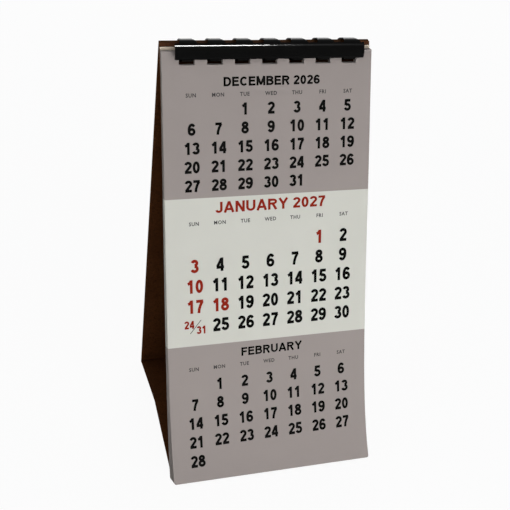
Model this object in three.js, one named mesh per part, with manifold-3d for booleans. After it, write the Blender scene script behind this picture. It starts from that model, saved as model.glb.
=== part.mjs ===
import * as THREE from 'three';
import { mergeVertices } from 'three/addons/utils/BufferGeometryUtils.js';
import Module from 'manifold-3d';

// A stand up desk calendar: a pad of leaves and two chipboard panels held by one plastic comb.
// The panels stand as an A, and a creased chipboard strip joins their feet.
// Lengths are in millimetres. X runs along the comb, Y points to the back and Z points up.

// Driving dimensions of the leaves
const leafCount = 12;
const leafWidth = 111.1;
const leafHeight = 227.2;
const leafThickness = 0.15;
const leafGap = 0.09;
const leafTopDrop = 4.4;
const leafTopStep = 0.05;
const leafSlotMargin = 3.8;
const bendGap = 0.3;
const bendBelowSlots = 1.2;
const leafBow = 0.4;
const leafBowReach = 110;
const leafCurl = 6.8;
const leafCurlPower = 7;
const leafFan = 0.4;
const leafSegments = 20;

// Driving dimensions of the backing card
const cardThickness = 0.3;
const cardGap = 0.15;
const cardRise = 2.2;
const cardTrim = 0.4;

// Driving dimensions of the chipboard stand
const boardOverhang = 0.1;
const boardThickness = 1.2;
const frontPanelHeight = 229;
const rearPanelHeight = 224.5;
const standDepth = 100;
const apexGap = 0.3;
const boardSlotMargin = 8;
const creaseHeight = 7.6;
const baseEndGap = 0.3;
const baseLift = 0.3;
const creaseLand = 1.6;

// Driving dimensions of the punched slots and the comb
const slotCount = 7;
const slotPitch = 14.2875;
const slotWidth = 8;
const slotHeight = 3;
const spineEndMargin = 6.6;
const spineThickness = 0.8;
const spineTopAngle = 27;
const spineBottomAngle = -44;
const fingerWidth = 5.6;
const fingerRootWidth = 9;
const fingerFlareReach = 2.8;
const fingerTipWidth = 4.4;
const fingerThickness = 0.6;
const ringFrontReach = 7.2;
const ringBackReach = 8.6;
const ringHalfHeight = 5.35;
const ringPower = 3.2;
const ringCentreBehind = -0.6;
const ringCentreAboveLeaf = 0.55;
const tipAngle = 326;
const tipCurlStart = 286;
const tipCurlIn = 0.2;
const fingerSegments = 34;

// Values that follow from the driving dimensions
const innerDepth = standDepth - 2 * boardThickness;
const frontFootAngle = Math.acos(
  (frontPanelHeight ** 2 + innerDepth ** 2 - rearPanelHeight ** 2) / (2 * frontPanelHeight * innerDepth),
);
const rearFootAngle = Math.acos(
  (rearPanelHeight ** 2 + innerDepth ** 2 - frontPanelHeight ** 2) / (2 * rearPanelHeight * innerDepth),
);
const frontLean = Math.PI / 2 - frontFootAngle;
const rearLean = Math.PI / 2 - rearFootAngle;
const boardWidth = leafWidth + 2 * boardOverhang;
const leafTop = frontPanelHeight - leafTopDrop;
const leafPitch = leafThickness + leafGap;
const lastLeafOut = cardGap + cardThickness + cardGap + leafThickness / 2;
const bendLine = leafSlotMargin + slotHeight + bendBelowSlots;
const spineLength = (slotCount - 1) * slotPitch + 2 * spineEndMargin;

const wasm = await Module();
wasm.setup();

// A closed geometry as a solid for joining
function toSolid(geometry) {
  const bare = geometry.clone();
  bare.deleteAttribute('normal');
  bare.deleteAttribute('uv');
  const merged = mergeVertices(bare, 1e-4);
  const vertProperties = new Float32Array(merged.attributes.position.array);
  const triVerts = new Uint32Array(merged.index.array);
  return new wasm.Manifold(new wasm.Mesh({ numProp: 3, vertProperties, triVerts }));
}

// A joined solid as a geometry again
function toGeometry(solid) {
  const { vertProperties, triVerts } = solid.getMesh();
  const geometry = new THREE.BufferGeometry();
  geometry.setAttribute('position', new THREE.BufferAttribute(new Float32Array(vertProperties), 3));
  geometry.setIndex(new THREE.BufferAttribute(new Uint32Array(triVerts), 1));
  geometry.computeVertexNormals();
  return geometry;
}

// A flat outline of [up, out] points, drawn out along X by the given width
function alongX(outline, width) {
  const shape = new THREE.Shape(outline.map(([up, out]) => new THREE.Vector2(up, out)));
  const geometry = new THREE.ExtrudeGeometry(shape, { depth: width, bevelEnabled: false });
  const turn = new THREE.Matrix4().makeBasis(
    new THREE.Vector3(0, 1, 0),
    new THREE.Vector3(0, 0, 1),
    new THREE.Vector3(1, 0, 0),
  );
  geometry.applyMatrix4(turn);
  geometry.translate(-width / 2, 0, 0);
  return geometry;
}

// The outline of a strip that follows a centre line and keeps its thickness
function stripOutline(centreLine, thickness) {
  const near = [];
  const far = [];
  centreLine.forEach(([up, out], i) => {
    const before = centreLine[Math.max(i - 1, 0)];
    const after = centreLine[Math.min(i + 1, centreLine.length - 1)];
    const run = Math.hypot(after[0] - before[0], after[1] - before[1]);
    const sideUp = (-(after[1] - before[1]) / run) * (thickness / 2);
    const sideOut = ((after[0] - before[0]) / run) * (thickness / 2);
    near.push([up + sideUp, out + sideOut]);
    far.unshift([up - sideUp, out - sideOut]);
  });
  return [...near, ...far];
}

// The X of each slot and of the comb finger in it
function slotCentres() {
  return Array.from({ length: slotCount }, (_, i) => (i - (slotCount - 1) / 2) * slotPitch);
}

// A box between two corners
function boxBetween(low, high) {
  const size = high.map((value, i) => value - low[i]);
  const geometry = new THREE.BoxGeometry(...size);
  geometry.translate(...low.map((value, i) => value + size[i] / 2));
  return geometry;
}

// A flat sheet with a row of slots punched near its top edge
function slottedSheet(width, bottom, top, slotMargin, thickness) {
  let sheet = toSolid(boxBetween([-width / 2, bottom, 0], [width / 2, top, thickness]));
  const slotTop = top - slotMargin;
  for (const x of slotCentres()) {
    const low = [x - slotWidth / 2, slotTop - slotHeight, -thickness];
    const high = [x + slotWidth / 2, slotTop, 2 * thickness];
    sheet = sheet.subtract(toSolid(boxBetween(low, high)));
  }
  return toGeometry(sheet);
}

// Turns the bottom edge of a leaning panel level, so that it stands flat on the table
function levelFoot(geometry, lean) {
  const position = geometry.attributes.position;
  for (let i = 0; i < position.count; i += 1) {
    if (position.getY(i) < boardThickness) {
      position.setY(i, -position.getZ(i) * Math.tan(lean));
    }
  }
  geometry.computeVertexNormals();
  return geometry;
}

// A point of the comb's loop in [up, out]; 0 degrees is its front, 90 its top and 180 its back
function loopPoint(degrees) {
  const angle = THREE.MathUtils.degToRad(degrees);
  const across = Math.cos(angle);
  const along = Math.sin(angle);
  const curlShare = Math.max(0, (degrees - tipCurlStart) / (tipAngle - tipCurlStart));
  const scale = 1 - tipCurlIn * curlShare ** 2;
  const reach = (across > 0 ? ringFrontReach : ringBackReach) * scale;
  const half = ringHalfHeight * scale;
  const up = leafTop + ringCentreAboveLeaf + half * Math.sign(along) * Math.abs(along) ** (2 / ringPower);
  const out = -ringCentreBehind + reach * Math.sign(across) * Math.abs(across) ** (2 / ringPower);
  return [up, out];
}

// The line of the loop between two angles
function loopLine(from, to, steps) {
  return Array.from({ length: steps + 1 }, (_, i) => loopPoint(from + ((to - from) * i) / steps));
}

// One finger: it leaves the spine's top edge wide, narrows, and runs round to its tip
function makeFinger(x) {
  const line = loopLine(spineTopAngle - 14, tipAngle, fingerSegments);
  const geometry = alongX(stripOutline(line, fingerThickness), fingerWidth);
  const position = geometry.attributes.position;
  const [rootUp, rootOut] = loopPoint(spineTopAngle);
  const [tipUp, tipOut] = loopPoint(tipAngle);
  for (let i = 0; i < position.count; i += 1) {
    const up = position.getY(i);
    const out = position.getZ(i);
    const atTop = up > leafTop + ringCentreAboveLeaf;
    const flare = atTop ? THREE.MathUtils.clamp(1 - (rootOut - out) / fingerFlareReach, 0, 1) : 0;
    const tipNear = Math.hypot(up - tipUp, out - tipOut);
    const point = !atTop && out > 0 ? THREE.MathUtils.clamp(1 - tipNear / 2.5, 0, 1) : 0;
    const width = fingerWidth + flare * (fingerRootWidth - fingerWidth) + point * (fingerTipWidth - fingerWidth);
    position.setX(i, (position.getX(i) * width) / fingerWidth);
  }
  geometry.translate(x, 0, 0);
  return geometry;
}

// The comb: a curved spine across the front, with one finger for each slot
function makeComb() {
  const spineLine = loopLine(spineBottomAngle, spineTopAngle, 14);
  let comb = toSolid(alongX(stripOutline(spineLine, spineThickness), spineLength));
  for (const x of slotCentres()) {
    comb = comb.add(toSolid(makeFinger(x)));
  }
  return toGeometry(comb);
}

// How far the middle of a leaf lies in front of the panel, at a distance down from its top edge
function leafOut(number, down) {
  const stack = lastLeafOut + leafPitch * (leafCount - number);
  const share = (leafCount - number) / (leafCount - 1);
  const below = Math.max(0, down - bendLine);
  const bowTurn = Math.min(1, below / leafBowReach);
  const bow = leafBow * share * Math.sin(Math.PI * bowTurn) ** 2;
  const curl = (leafCurl + leafFan * (leafCount - number)) * (below / (leafHeight - bendLine)) ** leafCurlPower;
  return stack + bow + curl;
}

// The top edge of a leaf; each one sits a little higher than the one in front of it
function leafTopEdge(number) {
  return leafTop + leafTopStep * (number - 1);
}

// The bound edge of a leaf: the flat strip with the slots, which the comb holds
function makeBoundEdge(number) {
  const top = leafTopEdge(number);
  const geometry = slottedSheet(leafWidth, top - bendLine, top, leafSlotMargin, leafThickness);
  geometry.translate(0, 0, leafOut(number, 0) - leafThickness / 2);
  return geometry;
}

// The free sheet of a leaf, from its bend line down to the curled lower edge
function makeLeafSheet(number) {
  const top = leafTopEdge(number);
  const line = [];
  let up = top - bendLine - bendGap;
  let down = bendLine + bendGap;
  const step = (leafHeight - down) / leafSegments;
  line.push([up, leafOut(number, down)]);
  for (let i = 0; i < leafSegments; i += 1) {
    const rise = leafOut(number, down + step) - leafOut(number, down);
    up -= Math.sqrt(step ** 2 - rise ** 2);
    down += step;
    line.push([up, leafOut(number, down)]);
  }
  return alongX(stripOutline(line.reverse(), leafThickness), leafWidth);
}

// The stiff card behind the leaves, with its slots in line with theirs
function makeBackingCard() {
  const top = leafTop + cardRise;
  const bottom = top - leafHeight + cardTrim;
  const geometry = slottedSheet(leafWidth, bottom, top, leafSlotMargin + cardRise, cardThickness);
  geometry.translate(0, 0, cardGap);
  return geometry;
}

// The panel behind the pad; the pad rests on its front face
function makeFrontPanel() {
  const geometry = slottedSheet(boardWidth, 0, frontPanelHeight, boardSlotMargin, boardThickness);
  geometry.translate(0, 0, -boardThickness);
  return levelFoot(geometry, frontLean);
}

// The panel that props the calendar from behind
function makeRearPanel() {
  const geometry = slottedSheet(boardWidth, 0, rearPanelHeight, boardSlotMargin, boardThickness);
  geometry.translate(0, 0, -boardThickness);
  return levelFoot(geometry, -rearLean);
}

// The strip between the feet, with the crease that lets the stand fold flat; its ends follow the panels' lean
function makeBaseStrip(frontInner, rearInner) {
  const frontEnd = (up) => frontInner + baseEndGap + up * Math.tan(frontLean);
  const rearEnd = (up) => rearInner - baseEndGap - up * Math.tan(rearLean);
  const middle = (frontEnd(baseLift) + rearEnd(baseLift)) / 2;
  const slope = (creaseHeight - baseLift) / (middle - frontEnd(baseLift));
  const wall = boardThickness * Math.hypot(1, slope);
  const wallAt = (y, end) => baseLift + wall + slope * Math.abs(y - end);
  const frontTop = frontEnd(baseLift + wall);
  const rearTop = rearEnd(baseLift + wall);
  const outline = [
    [frontEnd(baseLift), baseLift],
    [middle, creaseHeight],
    [rearEnd(baseLift), baseLift],
    [rearTop, wallAt(rearTop, rearEnd(baseLift))],
    [middle + creaseLand / 2, wallAt(middle + creaseLand / 2, rearEnd(baseLift))],
    [middle - creaseLand / 2, wallAt(middle - creaseLand / 2, frontEnd(baseLift))],
    [frontTop, wallAt(frontTop, frontEnd(baseLift))],
  ];
  return alongX(outline, boardWidth);
}

// Materials of the pieces
function material(color, roughness) {
  return new THREE.MeshStandardMaterial({ color, roughness, metalness: 0 });
}

// A named piece with its own material
function piece(name, geometry, color, roughness) {
  const mesh = new THREE.Mesh(geometry, material(color, roughness));
  mesh.name = name;
  return mesh;
}

const paperColour = 0xb3aeae;
const cardColour = 0xe9e2d3;
const boardColour = 0x6b3f22;
const combColour = 0x0b0b0c;

const calendar = new THREE.Group();

// The leaning front: the panel, the card, the leaves and the comb
const front = new THREE.Group();
front.rotation.x = Math.PI / 2 - frontLean;
front.add(piece('front_panel', makeFrontPanel(), boardColour, 0.85));
front.add(piece('backing_card', makeBackingCard(), cardColour, 0.7));
for (let number = 1; number <= leafCount; number += 1) {
  const label = String(number).padStart(2, '0');
  front.add(piece(`leaf_${label}_bound_edge`, makeBoundEdge(number), paperColour, 0.75));
  front.add(piece(`leaf_${label}_sheet`, makeLeafSheet(number), paperColour, 0.75));
}
front.add(piece('comb_binding', makeComb(), combColour, 0.2));
calendar.add(front);

// The rear panel meets the front panel at their top edges and leans the other way
const apexUp = frontPanelHeight;
const apexOut = -boardThickness - apexGap;
const apexY = apexUp * Math.sin(frontLean) - apexOut * Math.cos(frontLean);
const apexZ = apexUp * Math.cos(frontLean) + apexOut * Math.sin(frontLean);
const rear = new THREE.Group();
const rearFootY = apexY + (apexZ / Math.cos(rearLean)) * Math.sin(rearLean);
rear.position.set(0, rearFootY, 0);
rear.rotation.x = Math.PI / 2 + rearLean;
rear.add(piece('rear_panel', makeRearPanel(), boardColour, 0.85));
calendar.add(rear);

// The base strip lies between the feet
const frontInner = boardThickness / Math.cos(frontLean);
calendar.add(piece('base_strip', makeBaseStrip(frontInner, rearFootY), boardColour, 0.85));

// The origin lies under the middle of the whole calendar, on the table
calendar.updateMatrixWorld(true);
const box = new THREE.Box3().setFromObject(calendar, true);
calendar.position.y = -(box.min.y + box.max.y) / 2;
calendar.updateMatrixWorld(true);

export default calendar;
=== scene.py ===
# %% [markdown]
# # A stand up desk calendar
#
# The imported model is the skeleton: two chipboard panels, a creased strip between their feet, a
# backing card, twelve leaves and one plastic comb. This file gives each of them its finish, prints the
# leaves and sets up the photograph's view. All pieces could be drawn again here. Their sizes and hinges
# are settled already, so a piece is made anew only where it bends or where its edges are soft.

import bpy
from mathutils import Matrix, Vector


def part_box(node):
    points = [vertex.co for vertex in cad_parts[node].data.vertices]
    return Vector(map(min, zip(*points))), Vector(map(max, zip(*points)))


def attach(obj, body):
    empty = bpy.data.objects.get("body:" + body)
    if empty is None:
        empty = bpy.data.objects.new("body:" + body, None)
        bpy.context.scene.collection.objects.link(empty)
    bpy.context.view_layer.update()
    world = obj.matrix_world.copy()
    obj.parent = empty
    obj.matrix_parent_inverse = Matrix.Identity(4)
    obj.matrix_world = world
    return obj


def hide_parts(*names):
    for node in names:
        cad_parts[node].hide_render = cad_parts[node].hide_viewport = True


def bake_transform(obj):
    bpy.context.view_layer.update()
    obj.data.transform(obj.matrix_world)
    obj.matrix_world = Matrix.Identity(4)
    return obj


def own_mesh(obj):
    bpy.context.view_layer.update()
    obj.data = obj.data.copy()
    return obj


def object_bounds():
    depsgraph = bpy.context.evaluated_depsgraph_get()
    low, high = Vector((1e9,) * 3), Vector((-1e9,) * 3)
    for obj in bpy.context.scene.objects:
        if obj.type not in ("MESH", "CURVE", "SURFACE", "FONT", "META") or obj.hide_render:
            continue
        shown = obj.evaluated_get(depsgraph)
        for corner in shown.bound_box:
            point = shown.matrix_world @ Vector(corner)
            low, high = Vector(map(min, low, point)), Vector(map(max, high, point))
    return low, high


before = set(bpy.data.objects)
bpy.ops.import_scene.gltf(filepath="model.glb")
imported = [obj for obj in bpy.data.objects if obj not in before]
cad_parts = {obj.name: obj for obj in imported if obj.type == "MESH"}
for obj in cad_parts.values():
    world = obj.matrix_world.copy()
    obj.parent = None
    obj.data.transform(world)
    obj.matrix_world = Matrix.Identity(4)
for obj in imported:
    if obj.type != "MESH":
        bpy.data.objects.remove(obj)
cad_low, cad_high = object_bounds()

# %% [markdown]
# Blender counts in metres and a calendar is small, so each size is written as millimetres times MM.
# Python's calendar module knows on which weekday a month starts, so no date has to be typed.

# %% Tools of this file
import calendar
import math

import bpy
from mathutils import Matrix, Vector

MM = 0.001
print("packed box in mm:", [round(side / MM, 1) for side in cad_high - cad_low])

# %% [markdown]
# ## Where things are
#
# The front of the calendar leans back. Two lengths describe a place on it: how far up the front panel,
# and how far out from the panel's face. World coordinates would do too, but each of them would have the
# lean hidden in its numbers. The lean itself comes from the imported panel.

# %% The leaning front
PANEL_HEIGHT = 229 * MM

panel_low, panel_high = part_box("front_panel")
front_lean = math.acos(panel_high.z / PANEL_HEIGHT)
foot_y = panel_low.y
along_panel = Vector((0, math.sin(front_lean), math.cos(front_lean)))
out_of_panel = Vector((0, -math.cos(front_lean), math.sin(front_lean)))
print("front leans back by", round(math.degrees(front_lean), 2), "degrees")


def on_front(x, up, out):
    return Vector((x, foot_y, 0)) + up * along_panel + out * out_of_panel


# %% [markdown]
# A leaf hangs flat for its first part, bows out a little and curls forward towards its lower edge. A
# cloth simulation could bend it. A formula gives the same curl each time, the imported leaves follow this
# same one, and print can be laid on it exactly, so the formula was chosen.

# %% How far a leaf stands out
LEAF_COUNT = 12
LEAF_WIDTH = 111.1 * MM
LEAF_HEIGHT = 227.2 * MM
LEAF_THICKNESS = 0.15 * MM
LEAF_PITCH = 0.24 * MM
LAST_LEAF_OUT = 0.675 * MM
BEND_LINE = 8 * MM
BOW_DEPTH = 0.4 * MM
BOW_LENGTH = 110 * MM
CURL_DEPTH = 6.8 * MM
CURL_SPREAD = 0.4 * MM
CURL_POWER = 7


def leaf_out(number, down):
    """How far out from the panel the middle of a leaf is, at a distance down the leaf."""
    behind = LEAF_COUNT - number
    below = max(0.0, down - BEND_LINE)
    bow_turn = min(1.0, below / BOW_LENGTH)
    bow = BOW_DEPTH * behind / (LEAF_COUNT - 1) * math.sin(math.pi * bow_turn) ** 2
    curl = (CURL_DEPTH + CURL_SPREAD * behind) * (below / (LEAF_HEIGHT - BEND_LINE)) ** CURL_POWER
    return LAST_LEAF_OUT + LEAF_PITCH * behind + bow + curl


print("the front leaf's lower edge stands out", round(leaf_out(1, LEAF_HEIGHT) / MM, 1), "mm")

# %% [markdown]
# Paper doesn't stretch, so a leaf that curls ends higher up. The curve is walked in small steps of equal
# length along the paper, and each step keeps the height up the panel that it has reached.

# %% Places on a leaf
LEAF_TOP = PANEL_HEIGHT - 4.4 * MM
LEAF_STAGGER = 0.05 * MM
CURVE_STEP = 0.4 * MM


def leaf_curve(number):
    """Pairs of (distance down the paper, height up the panel), one for each step down the leaf."""
    up = LEAF_TOP + LEAF_STAGGER * (number - 1)
    curve = [(0.0, up)]
    while curve[-1][0] < LEAF_HEIGHT:
        down = curve[-1][0]
        rise = leaf_out(number, down + CURVE_STEP) - leaf_out(number, down)
        up -= math.sqrt(CURVE_STEP ** 2 - rise ** 2)
        curve.append((down + CURVE_STEP, up))
    return curve


leaf_curves = {number: leaf_curve(number) for number in range(1, LEAF_COUNT + 1)}


def on_leaf(number, x, down, lift=0.0):
    """A point on a leaf's front face, or a lift in front of it."""
    curve = leaf_curves[number]
    i = min(int(down / CURVE_STEP), len(curve) - 2)
    share = (down - curve[i][0]) / CURVE_STEP
    up = curve[i][1] + share * (curve[i + 1][1] - curve[i][1])
    slope = (leaf_out(number, down + CURVE_STEP) - leaf_out(number, down)) / CURVE_STEP
    off = LEAF_THICKNESS / 2 + lift
    return on_front(x, up + off * slope, leaf_out(number, down) + off * math.cos(math.asin(slope)))


print("front leaf's lower edge is", round(on_leaf(1, 0, LEAF_HEIGHT).z / MM, 2), "mm above the table")

# %% [markdown]
# ## Camera
#
# The view could be turned by eye. Here it was fitted to the places of the slots, the leaf's corners, the
# printed grid and the feet, which settles place, lens and tilt together. The image is 510 pixels square,
# and the lens is written as its focal length in pixels. The small shift centres the frame the way the
# photograph is cropped.

# %% The photograph's view
IMAGE_SIZE = 510
FOCAL_PIXELS = 890.65
CENTRE_PIXEL = Vector((259.21, 215.0))
SENSOR_WIDTH = 36

camera_place = Vector((-132.93, -364.35 + foot_y / MM, 345.25)) * MM
stand_up = Matrix.Rotation(math.pi / 2, 3, "X")
look_down = Matrix.Rotation(-0.46502, 3, "X")
look_right = Matrix.Rotation(-0.31, 3, "Z")
tip_sideways = Matrix.Rotation(0.07987, 3, "Z")
camera_turn = look_right @ look_down @ stand_up @ tip_sideways

view_camera = bpy.data.cameras.new("photo_view")
camera = bpy.data.objects.new("photo_view", view_camera)
bpy.context.scene.collection.objects.link(camera)
view_camera.sensor_width = SENSOR_WIDTH
view_camera.lens = SENSOR_WIDTH * FOCAL_PIXELS / IMAGE_SIZE
view_camera.shift_x = (IMAGE_SIZE / 2 - CENTRE_PIXEL.x) / IMAGE_SIZE
view_camera.shift_y = (CENTRE_PIXEL.y - IMAGE_SIZE / 2) / IMAGE_SIZE
view_camera.clip_start = 0.01
camera.matrix_world = Matrix.Translation(camera_place) @ camera_turn.to_4x4()
bpy.context.scene.camera = camera
print("lens", round(view_camera.lens, 1), "mm")
print("shift", round(view_camera.shift_x, 3), round(view_camera.shift_y, 3))

# %% [markdown]
# ## Shared surface effects
#
# Paper, card and chipboard are all pressed fibres, only coarser or finer. Each could have its own nodes,
# but one node group keeps them alike: it makes soft clouds, small flecks and a height for the bump, and
# each material sets its own sizes. First come the group's inputs and outputs.

# %% Inputs and outputs of the fibre texture
fibres = bpy.data.node_groups.new("pressed fibres", "ShaderNodeTree")
for label, value in (("Cloud Scale", 60.0), ("Fleck Scale", 900.0), ("Fleck Share", 0.3)):
    socket = fibres.interface.new_socket(label, in_out="INPUT", socket_type="NodeSocketFloat")
    socket.default_value = value
for label in ("Clouds", "Flecks", "Height"):
    fibres.interface.new_socket(label, in_out="OUTPUT", socket_type="NodeSocketFloat")
fibres_in = fibres.nodes.new("NodeGroupInput")
fibres_out = fibres.nodes.new("NodeGroupOutput")
print("fibre group sockets:", [item.name for item in fibres.interface.items_tree])

# %% [markdown]
# Two noises are enough. The coarse one is the clouds. The fine one is cut off at a level, so that only
# its peaks are left as flecks. Both together are the height of the surface.

# %% Inside the fibre texture
def add_node(tree, kind, **settings):
    node = tree.nodes.new(kind)
    for key, value in settings.items():
        setattr(node, key, value)
    return node


place_node = add_node(fibres, "ShaderNodeTexCoord")
cloud_noise = add_node(fibres, "ShaderNodeTexNoise")
cloud_noise.inputs["Detail"].default_value = 4
fleck_noise = add_node(fibres, "ShaderNodeTexNoise")
fleck_noise.inputs["Detail"].default_value = 3
fleck_noise.inputs["Distortion"].default_value = 1.5
fleck_edge = add_node(fibres, "ShaderNodeMapRange")
fleck_edge.inputs["From Min"].default_value = 0.45
fleck_edge.inputs["From Max"].default_value = 0.75
fleck_weight = add_node(fibres, "ShaderNodeMath", operation="MULTIPLY")
fibre_height = add_node(fibres, "ShaderNodeMath", operation="ADD")

fibres.links.new(place_node.outputs["Object"], cloud_noise.inputs["Vector"])
fibres.links.new(place_node.outputs["Object"], fleck_noise.inputs["Vector"])
fibres.links.new(fibres_in.outputs["Cloud Scale"], cloud_noise.inputs["Scale"])
fibres.links.new(fibres_in.outputs["Fleck Scale"], fleck_noise.inputs["Scale"])
fibres.links.new(fleck_noise.outputs["Fac"], fleck_edge.inputs["Value"])
fibres.links.new(fleck_edge.outputs["Result"], fleck_weight.inputs[0])
fibres.links.new(fibres_in.outputs["Fleck Share"], fleck_weight.inputs[1])
fibres.links.new(cloud_noise.outputs["Fac"], fibre_height.inputs[0])
fibres.links.new(fleck_noise.outputs["Fac"], fibre_height.inputs[1])
fibres.links.new(cloud_noise.outputs["Fac"], fibres_out.inputs["Clouds"])
fibres.links.new(fleck_weight.outputs["Value"], fibres_out.inputs["Flecks"])
fibres.links.new(fibre_height.outputs["Value"], fibres_out.inputs["Height"])
print("fibre group:", len(fibres.nodes), "nodes,", len(fibres.links), "links")

# %% [markdown]
# Every pressed material is the same recipe with other numbers: a light and a dark tone mixed by the
# clouds, flecks of a third tone, a roughness that follows the clouds, and a shallow bump. The Mix node
# has several sockets of one name, so its colour sockets are picked by their number. Pressed fibres
# scatter light and hardly mirror it, so the shader's specular level is low.

# %% A material of pressed fibres
COLOUR_A, COLOUR_B, COLOUR_OUT = 6, 7, 2
ROUGHNESS_CHANGE = 0.08
PRESSED_BUMP_STRENGTH = 0.5
PRESSED_SPECULAR = 0.012


def pressed_material(name, light, dark, fleck, cloud_scale, fleck_scale, fleck_share, roughness, bump):
    material = bpy.data.materials.new(name)
    material.use_nodes = True
    tree = material.node_tree
    shader = tree.nodes["Principled BSDF"]
    texture = add_node(tree, "ShaderNodeGroup", node_tree=fibres)
    texture.inputs["Cloud Scale"].default_value = cloud_scale
    texture.inputs["Fleck Scale"].default_value = fleck_scale
    texture.inputs["Fleck Share"].default_value = fleck_share
    tones = add_node(tree, "ShaderNodeMix", data_type="RGBA")
    tones.inputs[COLOUR_A].default_value = (*dark, 1)
    tones.inputs[COLOUR_B].default_value = (*light, 1)
    flecked = add_node(tree, "ShaderNodeMix", data_type="RGBA")
    flecked.inputs[COLOUR_B].default_value = (*fleck, 1)
    rough = add_node(tree, "ShaderNodeMapRange")
    rough.inputs["To Min"].default_value = roughness - ROUGHNESS_CHANGE
    rough.inputs["To Max"].default_value = roughness + ROUGHNESS_CHANGE
    relief = add_node(tree, "ShaderNodeBump")
    relief.inputs["Distance"].default_value = bump
    relief.inputs["Strength"].default_value = PRESSED_BUMP_STRENGTH
    tree.links.new(texture.outputs["Clouds"], tones.inputs["Factor"])
    tree.links.new(tones.outputs[COLOUR_OUT], flecked.inputs[COLOUR_A])
    tree.links.new(texture.outputs["Flecks"], flecked.inputs["Factor"])
    tree.links.new(flecked.outputs[COLOUR_OUT], shader.inputs["Base Color"])
    tree.links.new(texture.outputs["Clouds"], rough.inputs["Value"])
    tree.links.new(rough.outputs["Result"], shader.inputs["Roughness"])
    tree.links.new(texture.outputs["Height"], relief.inputs["Height"])
    tree.links.new(relief.outputs["Normal"], shader.inputs["Normal"])
    shader.inputs["Specular IOR Level"].default_value = PRESSED_SPECULAR
    return material


# %% [markdown]
# ## Finishes
#
# The leaves are uncoated paper. The outer months have a grey tint printed over them, and the middle one
# is bare paper. The card is cream, and the inks are thin films that show the paper's fibres. All of
# these differ only in colour, so one short recipe takes the colour and works out its tones from it.

# %% Paper, card and ink
PAPER_DARK = 0.94
PAPER_FLECK = 0.8
PAPER_CLOUD_SCALE = 45.0
PAPER_FLECK_SCALE = 2600.0
PAPER_FLECK_SHARE = 0.12
PAPER_ROUGHNESS = 0.86
PAPER_BUMP = 0.01 * MM


def sheet_material(name, light):
    dark = tuple(value * PAPER_DARK for value in light)
    fleck = tuple(value * PAPER_FLECK for value in light)
    return pressed_material(
        name, light, dark, fleck, PAPER_CLOUD_SCALE, PAPER_FLECK_SCALE, PAPER_FLECK_SHARE,
        PAPER_ROUGHNESS, PAPER_BUMP,
    )


paper_white = sheet_material("bare paper", (0.60, 0.596, 0.535))
paper_grey = sheet_material("grey printed paper", (0.325, 0.286, 0.267))
# The cut edges are a darker grey than the paper itself: this is painted shade for the side of the stack.
paper_edge_painted_shade = sheet_material("cut paper edge with painted shade", (0.27, 0.25, 0.22))
card_cream = sheet_material("cream card", (0.76, 0.65, 0.51))
ink_black = sheet_material("black ink", (0.003, 0.0026, 0.0024))
ink_red = sheet_material("red ink", (0.26, 0.019, 0.010))
ink_fine = sheet_material("fine grey ink", (0.05, 0.047, 0.047))
for finish in (paper_white, paper_grey, paper_edge_painted_shade, card_cream, ink_black, ink_red, ink_fine):
    print("sheet finish:", finish.name)

# %% [markdown]
# Chipboard is brown pressed pulp with darker flecks. Its cut edge shows torn fibres: it is rougher, a
# little paler, and its pattern is finer. A picture of real board would give a truer grain, but this file
# uses no pictures, and the same recipe with coarser sizes comes close.

# %% Chipboard
chipboard = pressed_material(
    "brown chipboard", light=(0.095, 0.034, 0.011), dark=(0.055, 0.018, 0.0055),
    fleck=(0.020, 0.007, 0.003), cloud_scale=70.0, fleck_scale=850.0, fleck_share=0.75,
    roughness=0.82, bump=0.06 * MM,
)
cut_board = pressed_material(
    "cut board edge", light=(0.120, 0.052, 0.020), dark=(0.075, 0.030, 0.010),
    fleck=(0.030, 0.011, 0.004), cloud_scale=300.0, fleck_scale=1400.0, fleck_share=0.5,
    roughness=0.9, bump=0.08 * MM,
)
print("board finishes:", chipboard.name, "and", cut_board.name)

# %% [markdown]
# The comb is moulded black plastic with a shine. One black and one roughness would look like a toy, so
# one noise changes both a little over the surface, as wiped plastic does, and a very shallow ripple
# breaks up the highlight. The specular level is low, because the real comb stays black on white ground.

# %% Comb plastic
comb_plastic = bpy.data.materials.new("black comb plastic")
comb_plastic.use_nodes = True
comb_tree = comb_plastic.node_tree
comb_shader = comb_tree.nodes["Principled BSDF"]
comb_place = add_node(comb_tree, "ShaderNodeTexCoord")
comb_noise = add_node(comb_tree, "ShaderNodeTexNoise")
comb_noise.inputs["Scale"].default_value = 140
comb_noise.inputs["Detail"].default_value = 3
comb_tone = add_node(comb_tree, "ShaderNodeMix", data_type="RGBA")
comb_tone.inputs[COLOUR_A].default_value = (0.0008, 0.0008, 0.0008, 1)
comb_tone.inputs[COLOUR_B].default_value = (0.0025, 0.0025, 0.0023, 1)
comb_rough = add_node(comb_tree, "ShaderNodeMapRange")
comb_rough.inputs["To Min"].default_value = 0.07
comb_rough.inputs["To Max"].default_value = 0.11
comb_ripple = add_node(comb_tree, "ShaderNodeBump")
comb_ripple.inputs["Distance"].default_value = 0.02 * MM
comb_ripple.inputs["Strength"].default_value = 0.3
comb_tree.links.new(comb_place.outputs["Object"], comb_noise.inputs["Vector"])
comb_tree.links.new(comb_noise.outputs["Fac"], comb_tone.inputs["Factor"])
comb_tree.links.new(comb_tone.outputs[COLOUR_OUT], comb_shader.inputs["Base Color"])
comb_tree.links.new(comb_noise.outputs["Fac"], comb_rough.inputs["Value"])
comb_tree.links.new(comb_rough.outputs["Result"], comb_shader.inputs["Roughness"])
comb_tree.links.new(comb_noise.outputs["Fac"], comb_ripple.inputs["Height"])
comb_tree.links.new(comb_ripple.outputs["Normal"], comb_shader.inputs["Normal"])
comb_shader.inputs["Specular IOR Level"].default_value = 0.04
print("comb plastic:", len(comb_tree.links), "links")

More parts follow.
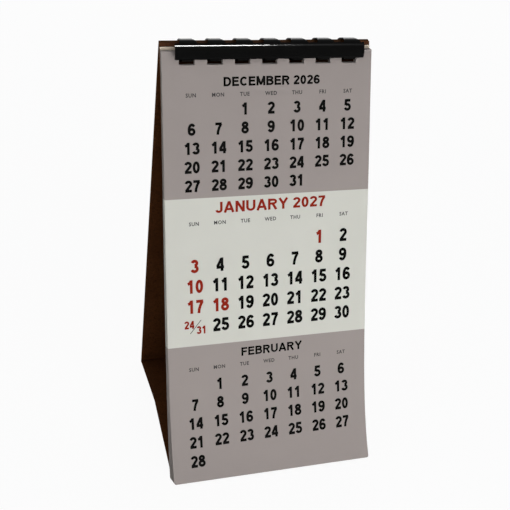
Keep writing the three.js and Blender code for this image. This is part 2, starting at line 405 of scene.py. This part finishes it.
# %% [markdown]
# ## Merged copies
#
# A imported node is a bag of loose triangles, and it is never changed. Where a piece needs rounded edges
# or smooth shading, a copy of the node takes its place. The copy's touching corners are merged, and flat
# faces become one again, because a bevel needs whole edges. Operators act on everything that is
# selected, so each step first selects one piece only.

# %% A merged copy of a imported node
MERGE_DISTANCE = 0.001 * MM
FLAT_WITHIN = 0.5


def only(piece):
    bpy.ops.object.select_all(action="DESELECT")
    piece.select_set(True)
    bpy.context.view_layer.objects.active = piece


def copy_of_node(node, name):
    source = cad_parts[node]
    piece = bpy.data.objects.new(name, source.data.copy())
    bpy.context.scene.collection.objects.link(piece)
    piece.data.materials.clear()
    only(piece)
    bpy.ops.object.mode_set(mode="EDIT")
    bpy.ops.mesh.select_all(action="SELECT")
    bpy.ops.mesh.customdata_custom_splitnormals_clear()
    bpy.ops.mesh.remove_doubles(threshold=MERGE_DISTANCE)
    bpy.ops.mesh.dissolve_limited(angle_limit=math.radians(FLAT_WITHIN))
    bpy.ops.object.mode_set(mode="OBJECT")
    return piece


print("loose corners in the comb's node:", len(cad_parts["comb_binding"].data.vertices))

# %% [markdown]
# Real edges are never quite sharp, and a rounded one catches a thin line of light. The rounding could be
# faked in the material, but then it isn't in the mesh, so a Bevel modifier makes it and is applied. A
# finished piece keeps its place in its mesh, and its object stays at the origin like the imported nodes.

# %% Rounding and shading
def apply_modifiers(piece):
    only(piece)
    for modifier in list(piece.modifiers):
        bpy.ops.object.modifier_apply(modifier=modifier.name)


def round_edges(piece, width, segments, sharper_than=30):
    """Rounds every edge at which the faces turn by more than so many degrees."""
    bevel = piece.modifiers.new("rounded edges", "BEVEL")
    bevel.width = width
    bevel.segments = segments
    bevel.limit_method = "ANGLE"
    bevel.angle_limit = math.radians(sharper_than)
    apply_modifiers(piece)


def smooth(piece, degrees):
    only(piece)
    bpy.ops.object.shade_smooth_by_angle(angle=math.radians(degrees))


def even_shading(piece):
    """Lets the large faces set the shading, so that small bevels don't tilt it."""
    weighted = piece.modifiers.new("even shading", "WEIGHTED_NORMAL")
    weighted.keep_sharp = True
    weighted.weight = 100
    apply_modifiers(piece)


def triangles(piece):
    return sum(len(face.vertices) - 2 for face in piece.data.polygons)


# %% [markdown]
# ## Comb
#
# The comb is one moulding: a curved spine with fingers that wrap over the boards. Moulded plastic has no
# sharp edges, so the copy gets a small bevel. The spine is made of long flat faces beside very narrow
# ones. Plain smooth shading would bend the long faces towards the narrow ones and cut the highlight
# short, so the large faces set the shading.

# %% Comb piece
comb = copy_of_node("comb_binding", "comb")
round_edges(comb, width=0.14 * MM, segments=2, sharper_than=50)
smooth(comb, 40)
even_shading(comb)
comb.data.materials.append(comb_plastic)
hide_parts("comb_binding")
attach(comb, "stand")
print("comb:", triangles(comb), "triangles")

# %% [markdown]
# ## Chipboard stand
#
# The panels are cut from flat board. A cut leaves the edge a little rounded and a little paler than the
# pressed face. A mask in the material could find the edge, but the faces round the outline are easy to
# pick by their place, so they simply get the second finish.

# %% Panels
BOARD_RIM = 0.7 * MM


def soft_board(node, body):
    board = copy_of_node(node, f"{node}_board")
    round_edges(board, width=0.16 * MM, segments=2)
    smooth(board, 40)
    even_shading(board)
    board.data.materials.append(chipboard)
    board.data.materials.append(cut_board)
    low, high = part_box(node)
    for face in board.data.polygons:
        inside_x = low.x + BOARD_RIM < face.center.x < high.x - BOARD_RIM
        inside_z = low.z + BOARD_RIM < face.center.z < high.z - BOARD_RIM
        face.material_index = 0 if inside_x and inside_z else 1
    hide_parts(node)
    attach(board, body)
    return board


for panel, body in (("front_panel", "stand"), ("rear_panel", "rear_panel")):
    print(panel, triangles(soft_board(panel, body)), "triangles")

# %% [markdown]
# The card behind the leaves is thin, flat and cleanly cut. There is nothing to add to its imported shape,
# so the node stays and only gets its finish.

# %% Backing card
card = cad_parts["backing_card"]
card.data.materials.clear()
card.data.materials.append(card_cream)
print("card:", triangles(card), "triangles")

# %% [markdown]
# The base strip keeps the feet apart and folds up along its crease as the stand closes. A rigid node
# can't do that. A second hinge could, but it would close a loop of hinges, so a softened copy takes the
# node's place and rides on the stand's body. The crease is worn rounder than the cut edges are, so the
# bevel is wider and takes in shallow edges too.

# %% Base strip
base_strip = copy_of_node("base_strip", "creased_base_strip")
round_edges(base_strip, width=0.3 * MM, segments=3, sharper_than=8)
smooth(base_strip, 30)
base_strip.data.materials.append(chipboard)
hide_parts("base_strip")
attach(base_strip, "stand")
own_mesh(base_strip)
print("base strip:", triangles(base_strip), "triangles")

# %% [markdown]
# ## Leaves
#
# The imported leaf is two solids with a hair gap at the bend. The visible sheet closes that gap: a strip
# is laid on the leaf's curve, and then gets the paper's thickness. Even rows would waste faces on the
# flat part, so the rows lie close where the sheet bends and curls, and wide in the middle. Rows also
# fall on the edges of the three printed bands.

# %% Rows of a leaf
BAND_EDGES = (74.0 * MM, 153.4 * MM)
BEND_STEP = 0.5 * MM
MIDDLE_STEP = 6 * MM
CURL_STEP = 3 * MM

bend_rows = [BEND_LINE + step * BEND_STEP for step in range(9)]
middle_rows = [step * MIDDLE_STEP for step in range(3, 19)]
curl_rows = [LEAF_HEIGHT - step * CURL_STEP for step in range(38)]
leaf_rows = sorted({*bend_rows, *middle_rows, *curl_rows, *BAND_EDGES})
print("a leaf has", len(leaf_rows), "rows")

# %% [markdown]
# A sheet starts as a plane, as it would by hand. Its two edges are moved to the first two rows, and the
# lower edge is then extruded from row to row. A curve with a profile could sweep the same strip, but an
# extruded edge puts each row exactly where it is wanted.

# %% Extruding a sheet
def select_points(piece, test):
    """Leaves the piece in edit mode with only the points selected whose place passes the test."""
    only(piece)
    bpy.ops.object.mode_set(mode="EDIT")
    bpy.ops.mesh.select_all(action="DESELECT")
    bpy.ops.object.mode_set(mode="OBJECT")
    for vertex in piece.data.vertices:
        vertex.select = test(vertex.co)
    bpy.ops.object.mode_set(mode="EDIT")


def extrude_sheet(name, width, places):
    """A strip that starts as a plane and is extruded from place to place. X stays level."""
    half = Vector((0, width / 2, 0))
    bpy.ops.object.select_all(action="DESELECT")
    bpy.ops.mesh.primitive_plane_add(size=width)
    sheet = bpy.context.object
    sheet.name = name
    select_points(sheet, lambda place: place.y > 0)
    bpy.ops.transform.translate(value=places[0] - half)
    bpy.ops.mesh.select_all(action="INVERT")
    bpy.ops.transform.translate(value=places[1] + half)
    for before, after in zip(places[1:], places[2:]):
        bpy.ops.mesh.extrude_region_move(TRANSFORM_OT_translate={"value": after - before})
    bpy.ops.object.mode_set(mode="OBJECT")
    return sheet


# %% [markdown]
# The comb's fingers leave the punched slots some play, so a leaf hangs a little askew, and each one
# further back a little more. The lower corners are worn round, which a bevel of just those two points
# makes. Faces are then sorted by the way they face and by their height: grey bands and a bare one on the
# front, bare paper on the back, and cut edges all round in a darker grey, which is painted shade.

# %% One sheet
SHEET_SKEW = -0.35 * MM
SKEW_STEP = -0.09 * MM
CORNER_RADIUS = 1.1 * MM
CORNER_REACH = LEAF_WIDTH / 2 + 0.5 * MM
FACES_FORWARD = 0.7


def make_sheet(number):
    name = f"leaf_{number:02d}"
    lower_edge_shift = SHEET_SKEW + SKEW_STEP * (number - 1)
    places = [on_leaf(number, lower_edge_shift * row / LEAF_HEIGHT, row) for row in leaf_rows]
    sheet = extrude_sheet(f"{name}_paper", LEAF_WIDTH, places)
    select_points(sheet, lambda place: (place - places[-1]).length < CORNER_REACH)
    bpy.ops.mesh.bevel(offset=CORNER_RADIUS, segments=3, affect="VERTICES")
    bpy.ops.object.mode_set(mode="OBJECT")
    thick = sheet.modifiers.new("paper thickness", "SOLIDIFY")
    thick.thickness = LEAF_THICKNESS
    thick.offset = -1
    apply_modifiers(sheet)
    # The first finish, for the cut edges, is darker than the paper: it is painted shade.
    for paper in (paper_edge_painted_shade, paper_grey, paper_white):
        sheet.data.materials.append(paper)
    for face in sheet.data.polygons:
        facing = face.normal.dot(out_of_panel)
        up = (face.center - on_front(0, 0, 0)).dot(along_panel)
        in_middle = LEAF_TOP - BAND_EDGES[1] < up < LEAF_TOP - BAND_EDGES[0]
        if abs(facing) > FACES_FORWARD:
            face.material_index = 2 if in_middle or facing < 0 else 1
    smooth(sheet, 40)
    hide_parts(f"{name}_sheet")
    return sheet


# %% [markdown]
# The front leaf turns by itself, so its sheet rides on its own body. The others lift as one bunch, and
# their sheets have to stay joined to the bound edges. Riding on one body would tear them off at the
# bend, so they ride on no body here, and each keeps its place baked into its mesh.

front_sheet = make_sheet(1)
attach(front_sheet, "front_leaf")
for number in range(2, LEAF_COUNT + 1):
    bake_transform(make_sheet(number))
print("front sheet:", triangles(front_sheet), "triangles")

# %% [markdown]
# Above the bend each leaf is a narrow strip with the punched slots. It is flat and never bends, so the
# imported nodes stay, in the grey of the top band.

# %% Bound edges
for number in range(1, LEAF_COUNT + 1):
    bound_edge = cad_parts[f"leaf_{number:02d}_bound_edge"]
    bound_edge.data.materials.clear()
    bound_edge.data.materials.append(paper_grey)
print("bound edges finished:", LEAF_COUNT)

# %% [markdown]
# ## Bold print
#
# Month names and day numbers are printed in an upright bold face without serifs. Blender's own font is
# thin, and a bold font would be a file from elsewhere. So each sign is drawn with a broad pen: a few
# straight and round strokes of one weight, on a body one unit high. A stroke is a thin ribbon of faces.

# %% The pen
PEN = 0.23
ARC_STEPS = 14
RING_STEPS = 28


def arc(x, y, wide, high, start, end, steps=ARC_STEPS):
    turns = [math.radians(start + (end - start) * i / steps) for i in range(steps + 1)]
    return [(x + wide * math.cos(turn), y + high * math.sin(turn)) for turn in turns]


def ring(x, y, wide, high):
    """A closed round line, whose last point is exactly its first."""
    return arc(x, y, wide, high, 0, 360, RING_STEPS)[:-1] + [(x + wide, y)]


def ribbon(line, pen):
    """Corners and faces of a flat ribbon along a line of points."""
    corners, faces = [], []
    for i, (x, y) in enumerate(line):
        before, after = Vector(line[max(i - 1, 0)]), Vector(line[min(i + 1, len(line) - 1)])
        if line[0] == line[-1] and i in (0, len(line) - 1):
            before, after = Vector(line[-2]), Vector(line[1])
        run = (after - before).normalized()
        side = Vector((-run.y, run.x)) * pen / 2
        corners += [Vector((x, y)) + side, Vector((x, y)) - side]
        if i:
            faces.append((2 * i - 2, 2 * i - 1, 2 * i + 1, 2 * i))
    return corners, faces


print("a ring is a ribbon of", len(ribbon(ring(0, 0, 1, 1), PEN)[1]), "faces")

# %% [markdown]
# A sign is its width and its strokes. The pen's middle runs half a pen width inside the outline, so
# that all signs reach the same top and bottom lines. Numbers are all equally wide, as in a table.

# %% Numbers
EDGE = PEN / 2
TOP = 1 - EDGE
DIGIT_WIDTH = 0.62

digit_strokes = {
    "0": [ring(0.31, 0.5, 0.31 - EDGE, 0.5 - EDGE)],
    "1": [[(0.36, 0), (0.36, 1)], [(0.08, 0.70), (0.22, 0.77), (0.33, 0.90)]],
    "2": [[*arc(0.31, 0.70, 0.215, 0.3 - EDGE, 172, -38), (0.10, 0.13)], [(0.02, EDGE), (0.61, EDGE)]],
    "3": [arc(0.30, 0.725, 0.195, 0.275 - EDGE, 165, -90), arc(0.30, 0.305, 0.225, 0.305 - EDGE, 90, -165)],
    "4": [[(0.45, 0), (0.45, 1)], [(0.0, 0.29), (0.62, 0.29)], [(0.41, 0.93), (0.07, 0.33)]],
    "5": [[(0.14, TOP), (0.58, TOP)], [(0.18, 0.98), (0.13, 0.47)],
          arc(0.30, 0.33, 0.225, 0.33 - EDGE, 130, -165)],
    "6": [ring(0.32, 0.32, 0.215, 0.32 - EDGE), arc(0.345, 0.47, 0.25, 0.53 - EDGE, 195, 40)],
    "7": [[(0.03, TOP), (0.60, TOP)], [(0.54, 0.88), (0.37, 0.58), (0.27, 0.28), (0.235, 0)]],
    "8": [ring(0.31, 0.735, 0.185, 0.265 - EDGE), ring(0.31, 0.30, 0.22, 0.30 - EDGE)],
    "9": [ring(0.30, 0.68, 0.215, 0.32 - EDGE), arc(0.275, 0.53, 0.25, 0.53 - EDGE, 15, -140)],
}
signs = {digit: (DIGIT_WIDTH, strokes) for digit, strokes in digit_strokes.items()}
signs[" "] = (0.24, [])
print("numbers drawn:", len(digit_strokes))

# %% [markdown]
# Only the capitals that the printed titles use are drawn, and each has the width of its own shape. Most
# of them share the upright stem at their left.

# %% Capital letters
stem = [(EDGE, 0), (EDGE, 1)]
signs.update({
    "A": (0.84, [[(0.08, 0), (0.42, 1)], [(0.76, 0), (0.42, 1)], [(0.2, 0.3), (0.64, 0.3)]]),
    "B": (0.76, [stem, [(EDGE, TOP), *arc(0.42, 0.735, 0.2, 0.265 - EDGE, 90, -90), (EDGE, 0.53)],
                 [(0.4, 0.53), *arc(0.42, 0.31, 0.235, 0.31 - EDGE, 90, -90), (EDGE, EDGE)]]),
    "C": (0.8, [arc(0.41, 0.5, 0.41 - EDGE, 0.5 - EDGE, 40, 320, 22)]),
    "D": (0.78, [stem, [(EDGE, TOP), *arc(0.36, 0.5, 0.42 - EDGE, 0.5 - EDGE, 90, -90, 20), (EDGE, EDGE)]]),
    "E": (0.7, [stem, [(EDGE, TOP), (0.68, TOP)], [(EDGE, 0.53), (0.64, 0.53)], [(EDGE, EDGE), (0.7, EDGE)]]),
    "F": (0.66, [stem, [(EDGE, TOP), (0.66, TOP)], [(EDGE, 0.5), (0.6, 0.5)]]),
    "H": (0.76, [stem, [(0.76 - EDGE, 0), (0.76 - EDGE, 1)], [(EDGE, 0.52), (0.7, 0.52)]]),
    "J": (0.6, [[(0.6 - EDGE, 1), (0.6 - EDGE, 0.3), *arc(0.29, 0.3, 0.31 - EDGE, 0.3 - EDGE, 0, -170)]]),
    "M": (0.92, [stem, [(0.92 - EDGE, 0), (0.92 - EDGE, 1)],
                 [(0.12, 1), (0.46, 0.08)], [(0.8, 1), (0.46, 0.08)]]),
    "N": (0.78, [stem, [(0.78 - EDGE, 0), (0.78 - EDGE, 1)], [(0.13, 0.96), (0.65, 0.04)]]),
    "R": (0.79, [stem, [(EDGE, TOP), *arc(0.44, 0.72, 0.215, 0.28 - EDGE, 90, -90), (EDGE, 0.53)],
                 [(0.42, 0.5), (0.69, 0)]]),
    "U": (0.78, [[(EDGE, 1), (EDGE, 0.38), *arc(0.39, 0.38, 0.39 - EDGE, 0.38 - EDGE, 180, 360),
                  (0.78 - EDGE, 1)]]),
    "Y": (0.8, [[(0.08, 1), (0.4, 0.47)], [(0.72, 1), (0.4, 0.47)], [(0.4, 0.5), (0.4, 0)]]),
})
print("signs drawn:", "".join(sorted(signs)))

# %% [markdown]
# A word is set sign by sign with a small gap. A title is then stretched to the width it has on the real
# leaf, and a date is squeezed by a fixed share. The result is a list of ribbons, each with its corners
# as (x, distance down the leaf), so that it can be laid on any leaf.

# %% Setting a word
SIGN_GAP = 0.085


def set_word(word, x, down, height, width=None, squeeze=1.0, pen=PEN):
    """Ribbons of a word centred on x and on a distance down the leaf."""
    natural = sum(signs[sign][0] for sign in word) + SIGN_GAP * (len(word) - 1)
    stretch = (width / height / natural) if width else squeeze
    ribbons, left = [], -natural / 2
    for sign in word:
        for line in signs[sign][1]:
            corners, faces = ribbon(line, pen)
            moved = [(x + (left + c.x) * stretch * height, down + (0.5 - c.y) * height) for c in corners]
            ribbons.append((moved, faces))
        left += signs[sign][0] + SIGN_GAP
    return ribbons


print("ribbons in a date such as 28:", len(set_word("28", 0, 0, 1)))

# %% [markdown]
# Print could be an image on the paper, but then it isn't sharp close up. Here all ribbons of one ink on
# one leaf become one piece, bent with the leaf. It floats a few hundredths of a millimetre in front of
# the paper, which is far less than a pixel and keeps ink and paper from sharing a surface.

# %% Laying ink on the paper
INK_LIFT = 0.04 * MM


def lay_ink(name, number, ribbons, ink, body):
    points, faces = [], []
    for corners, quads in ribbons:
        first = len(points)
        points += [on_leaf(number, x, down, INK_LIFT) for x, down in corners]
        faces += [tuple(first + i for i in quad) for quad in quads]
    mesh = bpy.data.meshes.new(name)
    mesh.from_pydata(points, [], faces)
    for face in mesh.polygons:
        if face.normal.dot(out_of_panel) < 0:
            face.flip()
    mesh.update()
    print_piece = bpy.data.objects.new(name, mesh)
    bpy.context.scene.collection.objects.link(print_piece)
    mesh.materials.append(ink)
    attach(print_piece, body)
    return print_piece


# %% [markdown]
# ## The three months
#
# Each leaf shows the last month on top, the current one in the middle, larger and with red Sundays and
# holidays, and the next one below. The rows and columns of the three blocks were read off the real leaf.
# Lengths are in millimetres. "title", "days" and "row" are distances down the leaf, of the title, the
# weekday names and the first week. "pitch" parts the weeks and "column" the weekdays. "tilt" is how far
# the print climbs for each millimetre to the right, because it isn't printed quite straight.

# %% The printed grid
blocks = {
    "last": {
        "title": 15.0, "title_middle": 1.3, "title_width": 51.2, "title_height": 4.7, "title_pen": 0.22,
        "days": 21.5, "row": 28.8, "pitch": 9.62, "middle": 0.75, "column": 13.95,
        "height": 6.2, "squeeze": 0.96, "tilt": 0.0067,
    },
    "current": {
        "title": 79.2, "title_middle": 0.8, "title_width": 60.3, "title_height": 5.9, "title_pen": 0.205,
        "days": 87.2, "row": 98.7, "pitch": 10.95, "middle": 0.45, "column": 13.7,
        "height": 7.3, "squeeze": 0.9, "tilt": 0.0065,
    },
    "next": {
        "title": 159.0, "title_middle": 1.15, "title_width": 34.4, "title_height": 4.75, "title_pen": 0.205,
        "days": 165.9, "row": 175.2, "pitch": 10.2, "middle": -0.5, "column": 13.88,
        "height": 6.35, "squeeze": 0.92, "tilt": 0.013,
    },
}
MIDDLE_COLUMN = 3
LAST_ROW = 4


def column_x(block, column):
    return (block["middle"] + (column - MIDDLE_COLUMN) * block["column"]) * MM


def month_cells(year, month, block):
    """The dates of a month, each with its week, its weekday and its place on the leaf."""
    cells = []
    weeks = calendar.Calendar(firstweekday=calendar.SUNDAY).monthdayscalendar(year, month)
    for row, week in enumerate(weeks):
        for column, day in enumerate(week):
            if day:
                down = (block["row"] + min(row, LAST_ROW) * block["pitch"]) * MM
                cells.append({"day": day, "row": row, "column": column,
                              "x": column_x(block, column), "down": down})
    return cells


for part, block in blocks.items():
    print(part, "month: cells of", block["column"], "by", block["pitch"], "mm")

# %% [markdown]
# A block has room for five weeks. Where a month needs a sixth, the last row is shared: two small dates
# stand in one place with a slash between them, the earlier one higher and to the left.

# %% Two dates in one place
SMALL_DATE = 0.6
UPPER_DATE = (-3.4 * MM, -1.2 * MM)
LOWER_DATE = (3.1 * MM, 2.0 * MM)
SLASH_ENDS = ((-3.0 * MM, 3.7 * MM), (3.0 * MM, -3.5 * MM))
SLASH_PEN = 0.35 * MM
DAYS_IN_WEEK = 7


def set_shared(cell, block):
    """Ribbons of the two small dates, and of the slash."""
    x, down = cell["x"], cell["down"]
    height = SMALL_DATE * block["height"] * MM
    dates = []
    for day, (across, lower) in ((cell["day"], UPPER_DATE), (cell["day"] + DAYS_IN_WEEK, LOWER_DATE)):
        dates += set_word(str(day), x + across, down + lower, height, squeeze=block["squeeze"])
    corners, faces = ribbon([(x + across, down + lower) for across, lower in SLASH_ENDS], SLASH_PEN)
    return dates, [([(c.x, c.y) for c in corners], faces)]


print("a small date is", round(SMALL_DATE * blocks["current"]["height"], 1), "mm high")

# %% [markdown]
# The dates of a month are sorted by ink while they are set, because each ink becomes a piece of its own.

# %% Setting a month
def set_month(year, month, block, holidays, coloured):
    inks = {"black": [], "red": [], "fine": []}
    cells = month_cells(year, month, block)
    sixth_week = {cell["column"] for cell in cells if cell["row"] > LAST_ROW}
    for cell in cells:
        red = coloured and (cell["column"] == 0 or cell["day"] in holidays)
        ink = inks["red" if red else "black"]
        if cell["row"] == LAST_ROW and cell["column"] in sixth_week:
            dates, slash = set_shared(cell, block)
            ink.extend(dates)
            inks["fine"].extend(slash)
        elif cell["row"] <= LAST_ROW:
            height = block["height"] * MM
            ink.extend(set_word(str(cell["day"]), cell["x"], cell["down"], height, squeeze=block["squeeze"]))
    return inks


# %% [markdown]
# The weekday names are tiny and thin. Here Blender's own font is right: each name is set flat as a text
# object, made a mesh, and its faces are laid on the paper like the ribbons. The size that a text object
# is given is larger than its capitals, so it is worked out from the height that these should have.

# %% Weekday names
DAY_NAMES = ("SUN", "MON", "TUE", "WED", "THU", "FRI", "SAT")
DAY_HEIGHT = 1.92 * MM
CAPITAL_SHARE = 0.69
DAY_WEIGHT = 0.025
DAY_SPACING = 1.15
DAY_SQUEEZE = 0.92


def set_small(word, x, down):
    bpy.ops.object.text_add()
    text = bpy.context.object
    text.data.body = word
    text.data.align_x = "CENTER"
    text.data.align_y = "CENTER"
    text.data.size = DAY_HEIGHT / CAPITAL_SHARE
    text.data.resolution_u = 2
    text.data.space_character = DAY_SPACING
    text.data.offset = DAY_WEIGHT * text.data.size
    only(text)
    bpy.ops.object.convert(target="MESH")
    mesh = bpy.context.object.data
    corners = [(x + DAY_SQUEEZE * v.co.x, down - v.co.y) for v in mesh.vertices]
    faces = [tuple(face.vertices) for face in mesh.polygons]
    bpy.data.objects.remove(bpy.context.object)
    return corners, faces


def set_day_names(block):
    down = block["days"] * MM
    return [set_small(name, column_x(block, column), down) for column, name in enumerate(DAY_NAMES)]


print("text size of the weekday names:", round(DAY_HEIGHT / CAPITAL_SHARE / MM, 2), "mm")

# %% [markdown]
# Only the top and middle titles carry the year. The current month's title, Sundays and holidays are red,
# and everything else is black or the fine grey. When all is set, the block's slight tilt is put in.

# %% One leaf's print, sorted by ink
FIRST_MONTH = (2027, 1)
HOLIDAYS = {(2027, 1): {1, 18}}


def month_after(year, month, step):
    count = year * 12 + month - 1 + step
    return count // 12, count % 12 + 1


def tilted(ribbons, tilt):
    return [([(x, down - tilt * x) for x, down in corners], faces) for corners, faces in ribbons]


def set_leaf(number):
    current = month_after(*FIRST_MONTH, number - 1)
    inks = {"black": [], "red": [], "fine": []}
    for step, part in ((-1, "last"), (0, "current"), (1, "next")):
        block = blocks[part]
        year, month = month_after(*current, step)
        coloured = part == "current"
        month_inks = set_month(year, month, block, HOLIDAYS.get((year, month), set()), coloured)
        title = calendar.month_name[month].upper() + ("" if part == "next" else f" {year}")
        month_inks["red" if coloured else "black"] += set_word(
            title, block["title_middle"] * MM, block["title"] * MM, block["title_height"] * MM,
            width=block["title_width"] * MM, pen=block["title_pen"],
        )
        month_inks["fine"] += set_day_names(block)
        for ink in inks:
            inks[ink] += tilted(month_inks[ink], block["tilt"])
    return inks


# %% [markdown]
# Two leaves are printed: the front one, and the one behind it, which shows when the front leaf is
# lifted. The others could be printed too, but they lift as one bunch, so their fronts never show.

# %% Front leaf and the leaf behind it
for number, body in ((1, "front_leaf"), (2, "pad")):
    leaf_inks = set_leaf(number)
    for ink_name, ink in (("black", ink_black), ("red", ink_red), ("fine", ink_fine)):
        name = f"leaf_{number:02d}_{ink_name}_print"
        print_piece = lay_ink(name, number, leaf_inks[ink_name], ink, body)
        print(name, triangles(print_piece), "triangles")

# %% [markdown]
# ## Studio
#
# The photograph is cut out on white and lit softly from the front. One large lamp could light the pad,
# but its light would fade down the leaf. So one soft lamp stands high in front and another low, which
# evens it out. A third at the left reaches the inside of the stand, and one behind keeps the rear panel
# from going dark.

# %% Lamps
def add_lamp(name, place, target, size, power):
    data = bpy.data.lights.new(name, "AREA")
    data.shape = "RECTANGLE"
    data.size, data.size_y = size
    data.energy = power
    lamp = bpy.data.objects.new(name, data)
    bpy.context.scene.collection.objects.link(lamp)
    lamp.location = place
    lamp.rotation_euler = (Vector(target) - Vector(place)).to_track_quat("-Z", "Y").to_euler()
    lamp.visible_camera = False
    return lamp


middle = (cad_low + cad_high) / 2
add_lamp("high_lamp", (0.20, -0.80, 0.78), target=(0, 0, 0), size=(0.5, 0.3), power=1.2)
low_lamp = add_lamp("low_lamp", (0.10, -0.65, 0.08), target=(0, 0, 0), size=(0.5, 0.14), power=2.25)
low_lamp.visible_glossy = False
add_lamp("left_lamp", (-1.0, -0.5, 0.35), target=middle, size=(0.6, 0.8), power=2.2)
add_lamp("rear_lamp", (0.35, 1.3, 0.8), target=middle, size=(0.9, 0.9), power=4.5)
print("soft lamps:", [light.name for light in bpy.data.lights])

# %% [markdown]
# The comb's round spine mirrors a thin bright line. It needs a strong lamp, but a strong lamp would wash
# out the paper. So this narrow strip is seen in reflections only and lights no surface.

# %% The comb's highlight
strip_lamp = add_lamp("strip_lamp", (0.06, -0.80, 0.78), target=(0.06, 0, 0.2), size=(0.46, 0.045), power=100)
strip_lamp.visible_diffuse = False
print("strip lamp:", round(strip_lamp.data.size / MM), "by", round(strip_lamp.data.size_y / MM), "mm")

# %% [markdown]
# The ground is pure white in the photograph. More light on a floor would whiten it, but would bleach the
# object too. So the room has two faces: white where the camera or a mirror looks at it, and a soft cool
# grey where it only lights things.

# %% Room
def seen_directly(tree):
    """1 for camera, glossy and transmission rays, 0 for the rays that carry light to surfaces."""
    path = add_node(tree, "ShaderNodeLightPath")
    either = add_node(tree, "ShaderNodeMath", operation="MAXIMUM")
    any_of = add_node(tree, "ShaderNodeMath", operation="MAXIMUM")
    tree.links.new(path.outputs["Is Camera Ray"], either.inputs[0])
    tree.links.new(path.outputs["Is Glossy Ray"], either.inputs[1])
    tree.links.new(either.outputs["Value"], any_of.inputs[0])
    tree.links.new(path.outputs["Is Transmission Ray"], any_of.inputs[1])
    return any_of.outputs["Value"]


world = bpy.data.worlds.new("soft room")
bpy.context.scene.world = world
world.use_nodes = True
world_tree = world.node_tree
room = world_tree.nodes["Background"]
room.inputs["Color"].default_value = (0.9, 0.93, 1.0, 1)
room.inputs["Strength"].default_value = 0.32
white = add_node(world_tree, "ShaderNodeBackground")
white.inputs["Color"].default_value = (1, 1, 1, 1)
white.inputs["Strength"].default_value = 1.0
world_mix = add_node(world_tree, "ShaderNodeMixShader")
world_tree.links.new(seen_directly(world_tree), world_mix.inputs["Fac"])
world_tree.links.new(room.outputs["Background"], world_mix.inputs[1])
world_tree.links.new(white.outputs["Background"], world_mix.inputs[2])
world_tree.links.new(world_mix.outputs["Shader"], world_tree.nodes["World Output"].inputs["Surface"])
print("room strength:", round(room.inputs["Strength"].default_value, 2))

# %% [markdown]
# The floor does the same: it is pale for the light that falls on it, and glows nearly white where it is
# looked at. The small share that doesn't glow keeps a faint shadow, so the calendar doesn't float.

# %% Floor
FLOOR_SIZE = 6
GLOW_SHARE = 0.945

bpy.ops.mesh.primitive_plane_add(size=FLOOR_SIZE, location=(0, 0, 0))
floor = bpy.context.object
floor.name = "studio_floor"
floor_paint = bpy.data.materials.new("pale floor")
floor_paint.use_nodes = True
floor_tree = floor_paint.node_tree
floor_shader = floor_tree.nodes["Principled BSDF"]
floor_shader.inputs["Base Color"].default_value = (0.9, 0.9, 0.9, 1)
floor_shader.inputs["Roughness"].default_value = 0.9
floor_shader.inputs["Specular IOR Level"].default_value = 0.0
floor_glow = add_node(floor_tree, "ShaderNodeEmission")
floor_glow.inputs["Color"].default_value = (1, 1, 1, 1)
floor_share = add_node(floor_tree, "ShaderNodeMath", operation="MULTIPLY")
floor_share.inputs[1].default_value = GLOW_SHARE
floor_mix = add_node(floor_tree, "ShaderNodeMixShader")
floor_tree.links.new(seen_directly(floor_tree), floor_share.inputs[0])
floor_tree.links.new(floor_share.outputs["Value"], floor_mix.inputs["Fac"])
floor_tree.links.new(floor_shader.outputs["BSDF"], floor_mix.inputs[1])
floor_tree.links.new(floor_glow.outputs["Emission"], floor_mix.inputs[2])
floor_tree.links.new(floor_mix.outputs["Shader"], floor_tree.nodes["Material Output"].inputs["Surface"])
floor.data.materials.append(floor_paint)
print("floor:", FLOOR_SIZE, "m wide")

# %% [markdown]
# ## Colour view
#
# Colours are shown as they are written.

# %% Finish
bpy.context.scene.view_settings.view_transform = "Standard"
